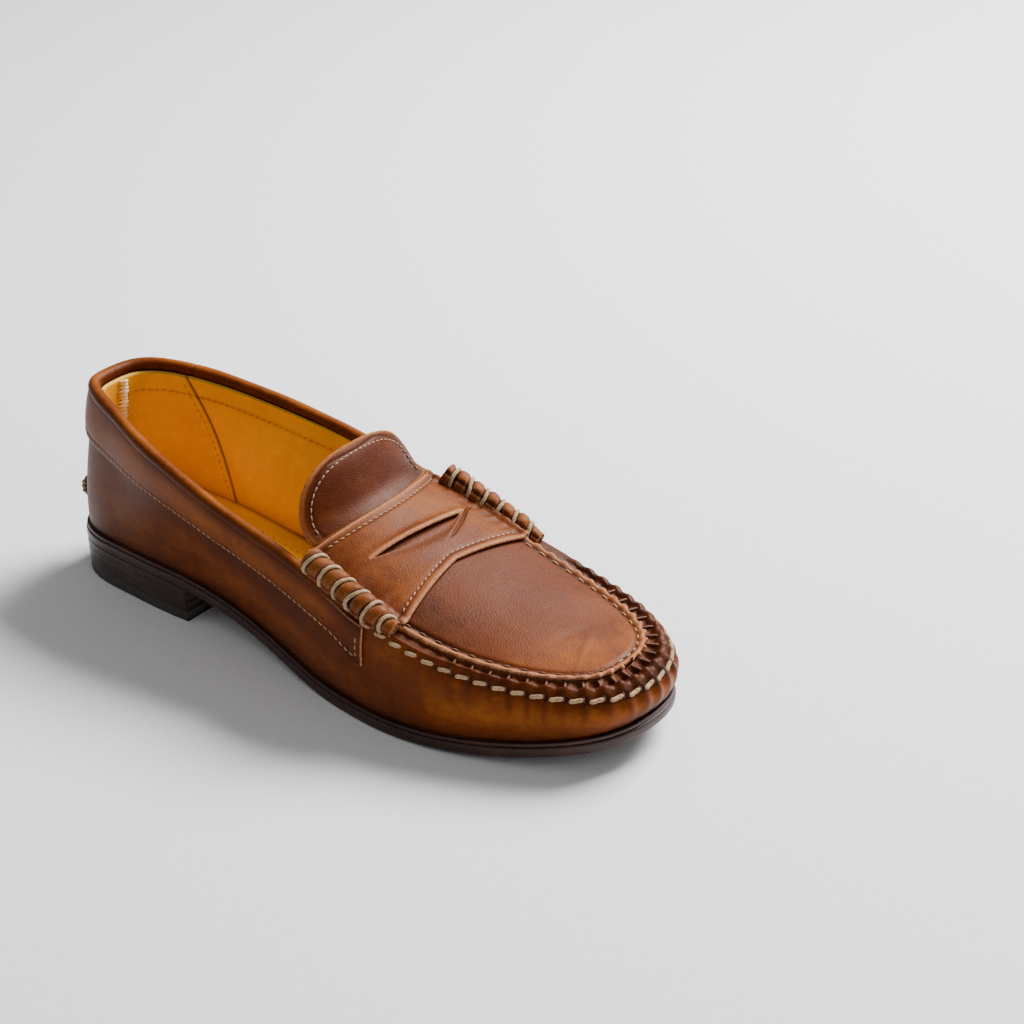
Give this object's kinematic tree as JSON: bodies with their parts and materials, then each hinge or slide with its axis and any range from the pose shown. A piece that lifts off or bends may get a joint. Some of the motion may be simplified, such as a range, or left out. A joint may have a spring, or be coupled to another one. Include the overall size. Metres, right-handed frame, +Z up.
{
  "type": "penny loafer",
  "caption": "Right penny loafer: hand-sewn leather moccasin upper with saddle strap and beef rolls on a leather sole with a stacked heel.",
  "frame": {"origin": "under the middle of the whole shoe's box, on the ground", "axes": "+Y from the heel to the toe, +X to the outer (lateral) side of this right shoe, +Z up"},
  "size_m": [0.101, 0.2892, 0.0909],
  "materials": {
    "upper_leather": "waxed pull-up leather, satin",
    "sole_leather": "dyed and burnished edge",
    "heel_leather": "stacked, dyed edge",
    "heel_rubber": "matt",
    "lining_leather": "matt glove leather",
    "thread": "waxed thread",
    "board": "leatherboard",
    "cork": "ground cork",
    "steel": "rolled",
    "brass": "plain"
  },
  "bodies": {
    "root": {"apron_seam_thread": "thread", "back_seam_knot": "thread", "back_seam_strip": "upper_leather", "beef_roll_lateral": "upper_leather", "beef_roll_medial": "upper_leather", "beef_roll_thread_lateral": "thread", "beef_roll_thread_medial": "thread", "collar_band": "upper_leather", "cork_filler": "cork", "heel_counter": "board", "heel_lift_1": "heel_leather", "heel_lift_2": "heel_leather", "heel_lift_3": "heel_leather", "heel_lining": "lining_leather", "heel_nail_1": "brass", "heel_nail_2": "brass", "heel_nail_3": "brass", "heel_nail_4": "brass", "heel_nail_5": "brass", "heel_top_piece": "heel_rubber", "insole": "board", "midsole": "sole_leather", "moccasin_wrap": "upper_leather", "outsole": "sole_leather", "plug": "upper_leather", "quarter_lining_lateral": "lining_leather", "quarter_lining_medial": "lining_leather", "saddle_strap": "upper_leather", "shank": "steel", "sock_liner": "lining_leather", "topline_binding": "upper_leather"},
    "tongue": {"tongue": "upper_leather", "tongue_lining": "lining_leather"}
  },
  "joints": [
    {"name": "tongue_flex", "type": "hinge", "parent": "root", "child": "tongue", "pos_m": [0, 0.0158, 0.069], "axis": [-1, 0, 0], "range_deg": [-10, 25], "stiffness_Nm_per_rad": 0.12}
  ]
}
